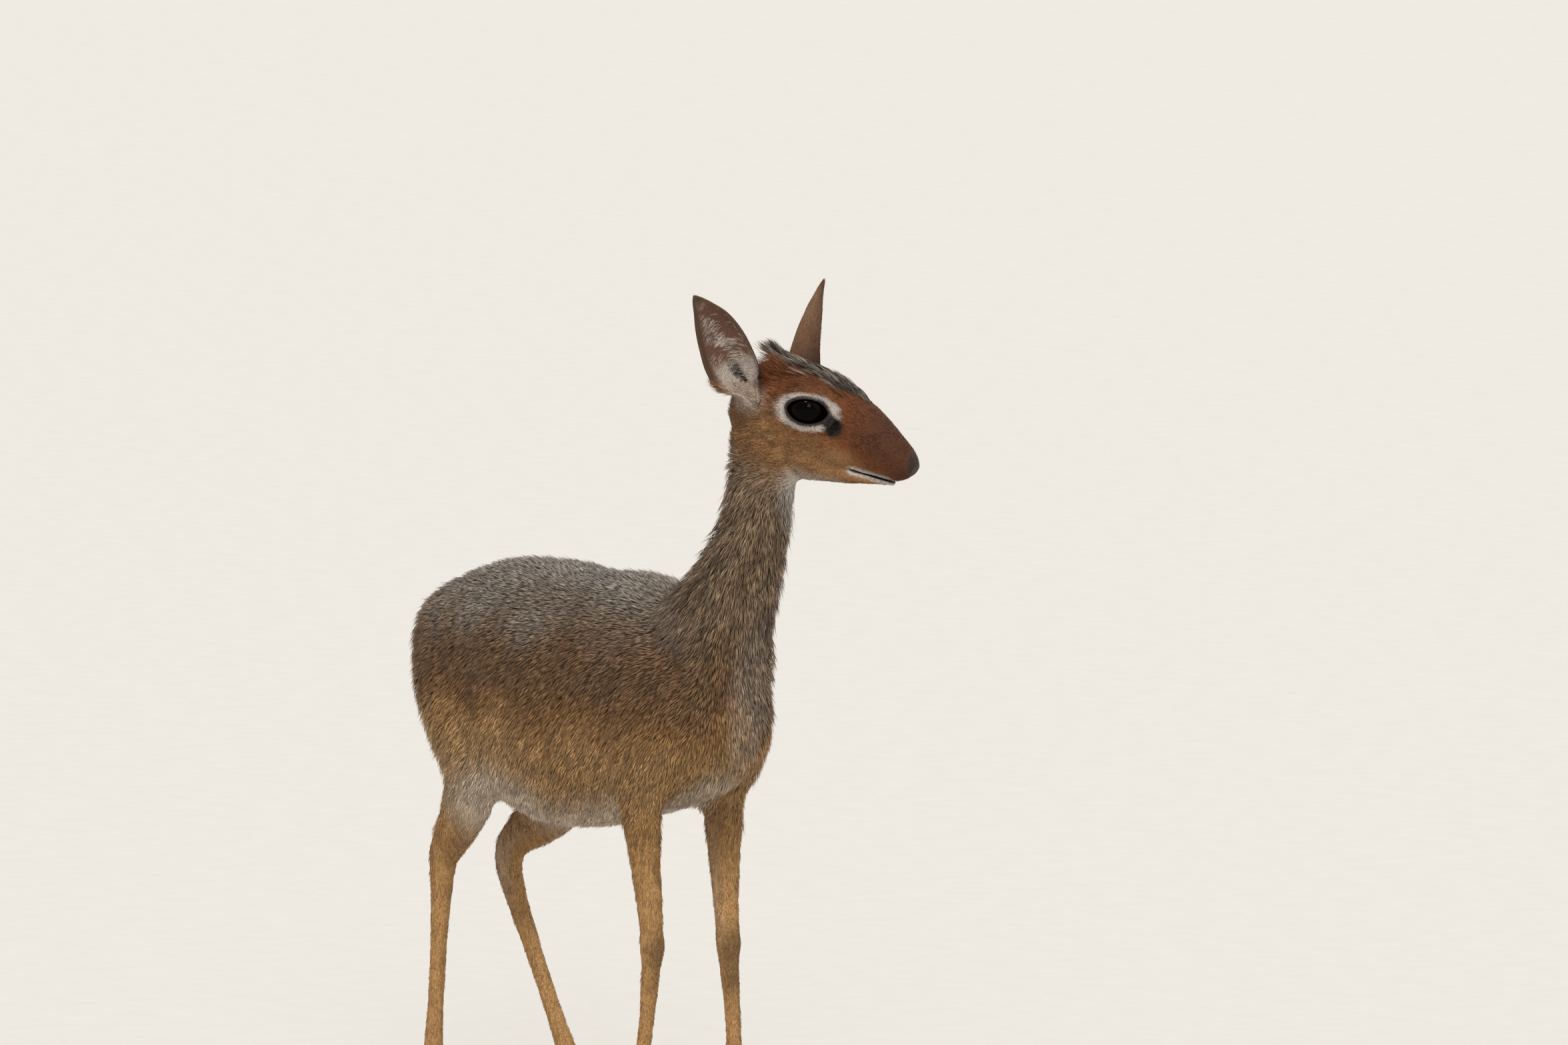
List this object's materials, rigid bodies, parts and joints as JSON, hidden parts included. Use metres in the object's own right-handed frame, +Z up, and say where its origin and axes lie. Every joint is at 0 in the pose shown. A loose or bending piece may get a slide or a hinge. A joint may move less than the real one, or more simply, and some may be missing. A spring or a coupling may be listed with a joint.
{
  "type": "dik-dik",
  "caption": "Small slender antelope standing with its head turned aside: big ears, large dark eyes, pointed snout, tufted forehead and thin legs on split hooves.",
  "frame": {"origin": "centre of the bounding box on the floor that the hooves stand on", "axes": "+X the way the body faces, +Y to the animal's left, +Z up"},
  "size_m": [0.4561, 0.1468, 0.5733],
  "materials": {
    "coat": "grizzled short fur",
    "russet_coat": "short smooth russet fur",
    "horn": "dark satin horn",
    "eye": "wet and glossy"
  },
  "bodies": {
    "root": {"ear_left": "russet_coat", "ear_right": "russet_coat", "eye_left": "eye", "eye_right": "eye", "foreleg_left_cannon": "russet_coat", "foreleg_left_forearm": "coat", "foreleg_left_shoulder": "coat", "foreleg_right_cannon": "russet_coat", "foreleg_right_forearm": "coat", "foreleg_right_shoulder": "coat", "head": "russet_coat", "hindleg_left_cannon": "russet_coat", "hindleg_left_shank": "russet_coat", "hindleg_left_thigh": "coat", "hindleg_right_cannon": "russet_coat", "hindleg_right_shank": "russet_coat", "hindleg_right_thigh": "coat", "hoof_foreleg_left_inner": "horn", "hoof_foreleg_left_outer": "horn", "hoof_foreleg_right_inner": "horn", "hoof_foreleg_right_outer": "horn", "hoof_hindleg_left_inner": "horn", "hoof_hindleg_left_outer": "horn", "hoof_hindleg_right_inner": "horn", "hoof_hindleg_right_outer": "horn", "neck": "coat", "tail": "coat", "torso": "coat"}
  },
  "joints": []
}
